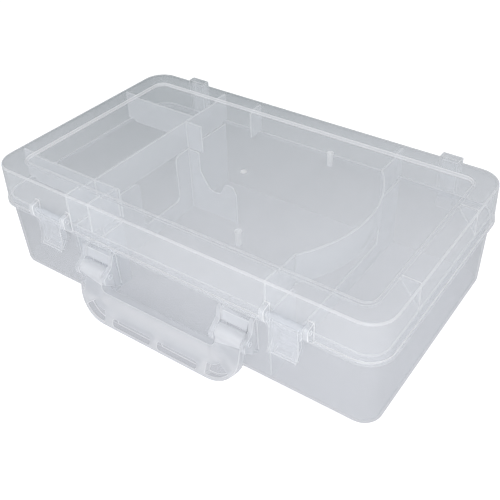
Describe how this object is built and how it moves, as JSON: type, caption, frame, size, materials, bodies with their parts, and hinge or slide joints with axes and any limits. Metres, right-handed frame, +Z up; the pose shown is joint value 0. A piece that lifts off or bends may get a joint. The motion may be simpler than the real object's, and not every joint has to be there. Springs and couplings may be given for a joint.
{
  "type": "parts organizer case",
  "caption": "Translucent plastic small-parts case with a divided tray, a hinged ribbed lid, two swing latches and a folding front handle.",
  "frame": {"origin": "middle of the tray's underside", "axes": "+X along the long side, handle and latches on the -Y side, hinges on the +Y side, +Z up"},
  "size_m": [0.3636, 0.2398, 0.1],
  "materials": {
    "tray_plastic": "satin",
    "lid_plastic": "satin",
    "fitting_plastic": "satin",
    "pin_plastic": "satin"
  },
  "bodies": {
    "tray": {"tray": "tray_plastic", "left_divider": "tray_plastic", "right_divider": "tray_plastic", "hinge_pin_left": "pin_plastic", "hinge_pin_right": "pin_plastic", "handle_pin_left": "pin_plastic", "handle_pin_right": "pin_plastic"},
    "lid": {"lid": "lid_plastic", "lid_left_ribs": "lid_plastic", "lid_curved_rib": "lid_plastic", "lid_short_rib": "lid_plastic", "latch_pin_left": "pin_plastic", "latch_pin_right": "pin_plastic"},
    "latch_left": {"latch_left": "fitting_plastic"},
    "latch_right": {"latch_right": "fitting_plastic"},
    "handle": {"handle": "fitting_plastic"}
  },
  "joints": [
    {"name": "lid_hinge", "type": "hinge", "parent": "tray", "child": "lid", "pos_m": [0, 0.1105, 0.06], "axis": [-1, 0, 0], "range_deg": [0, 180]},
    {"name": "latch_left_hinge", "type": "hinge", "parent": "lid", "child": "latch_left", "pos_m": [-0.1115, -0.1086, 0.077], "axis": [-1, 0, 0], "range_deg": [0, 110]},
    {"name": "latch_right_hinge", "type": "hinge", "parent": "lid", "child": "latch_right", "pos_m": [0.1115, -0.1086, 0.077], "axis": [-1, 0, 0], "range_deg": [0, 110]},
    {"name": "handle_hinge", "type": "hinge", "parent": "tray", "child": "handle", "pos_m": [0, -0.1105, 0.042], "axis": [-1, 0, 0], "range_deg": [0, 150]}
  ]
}
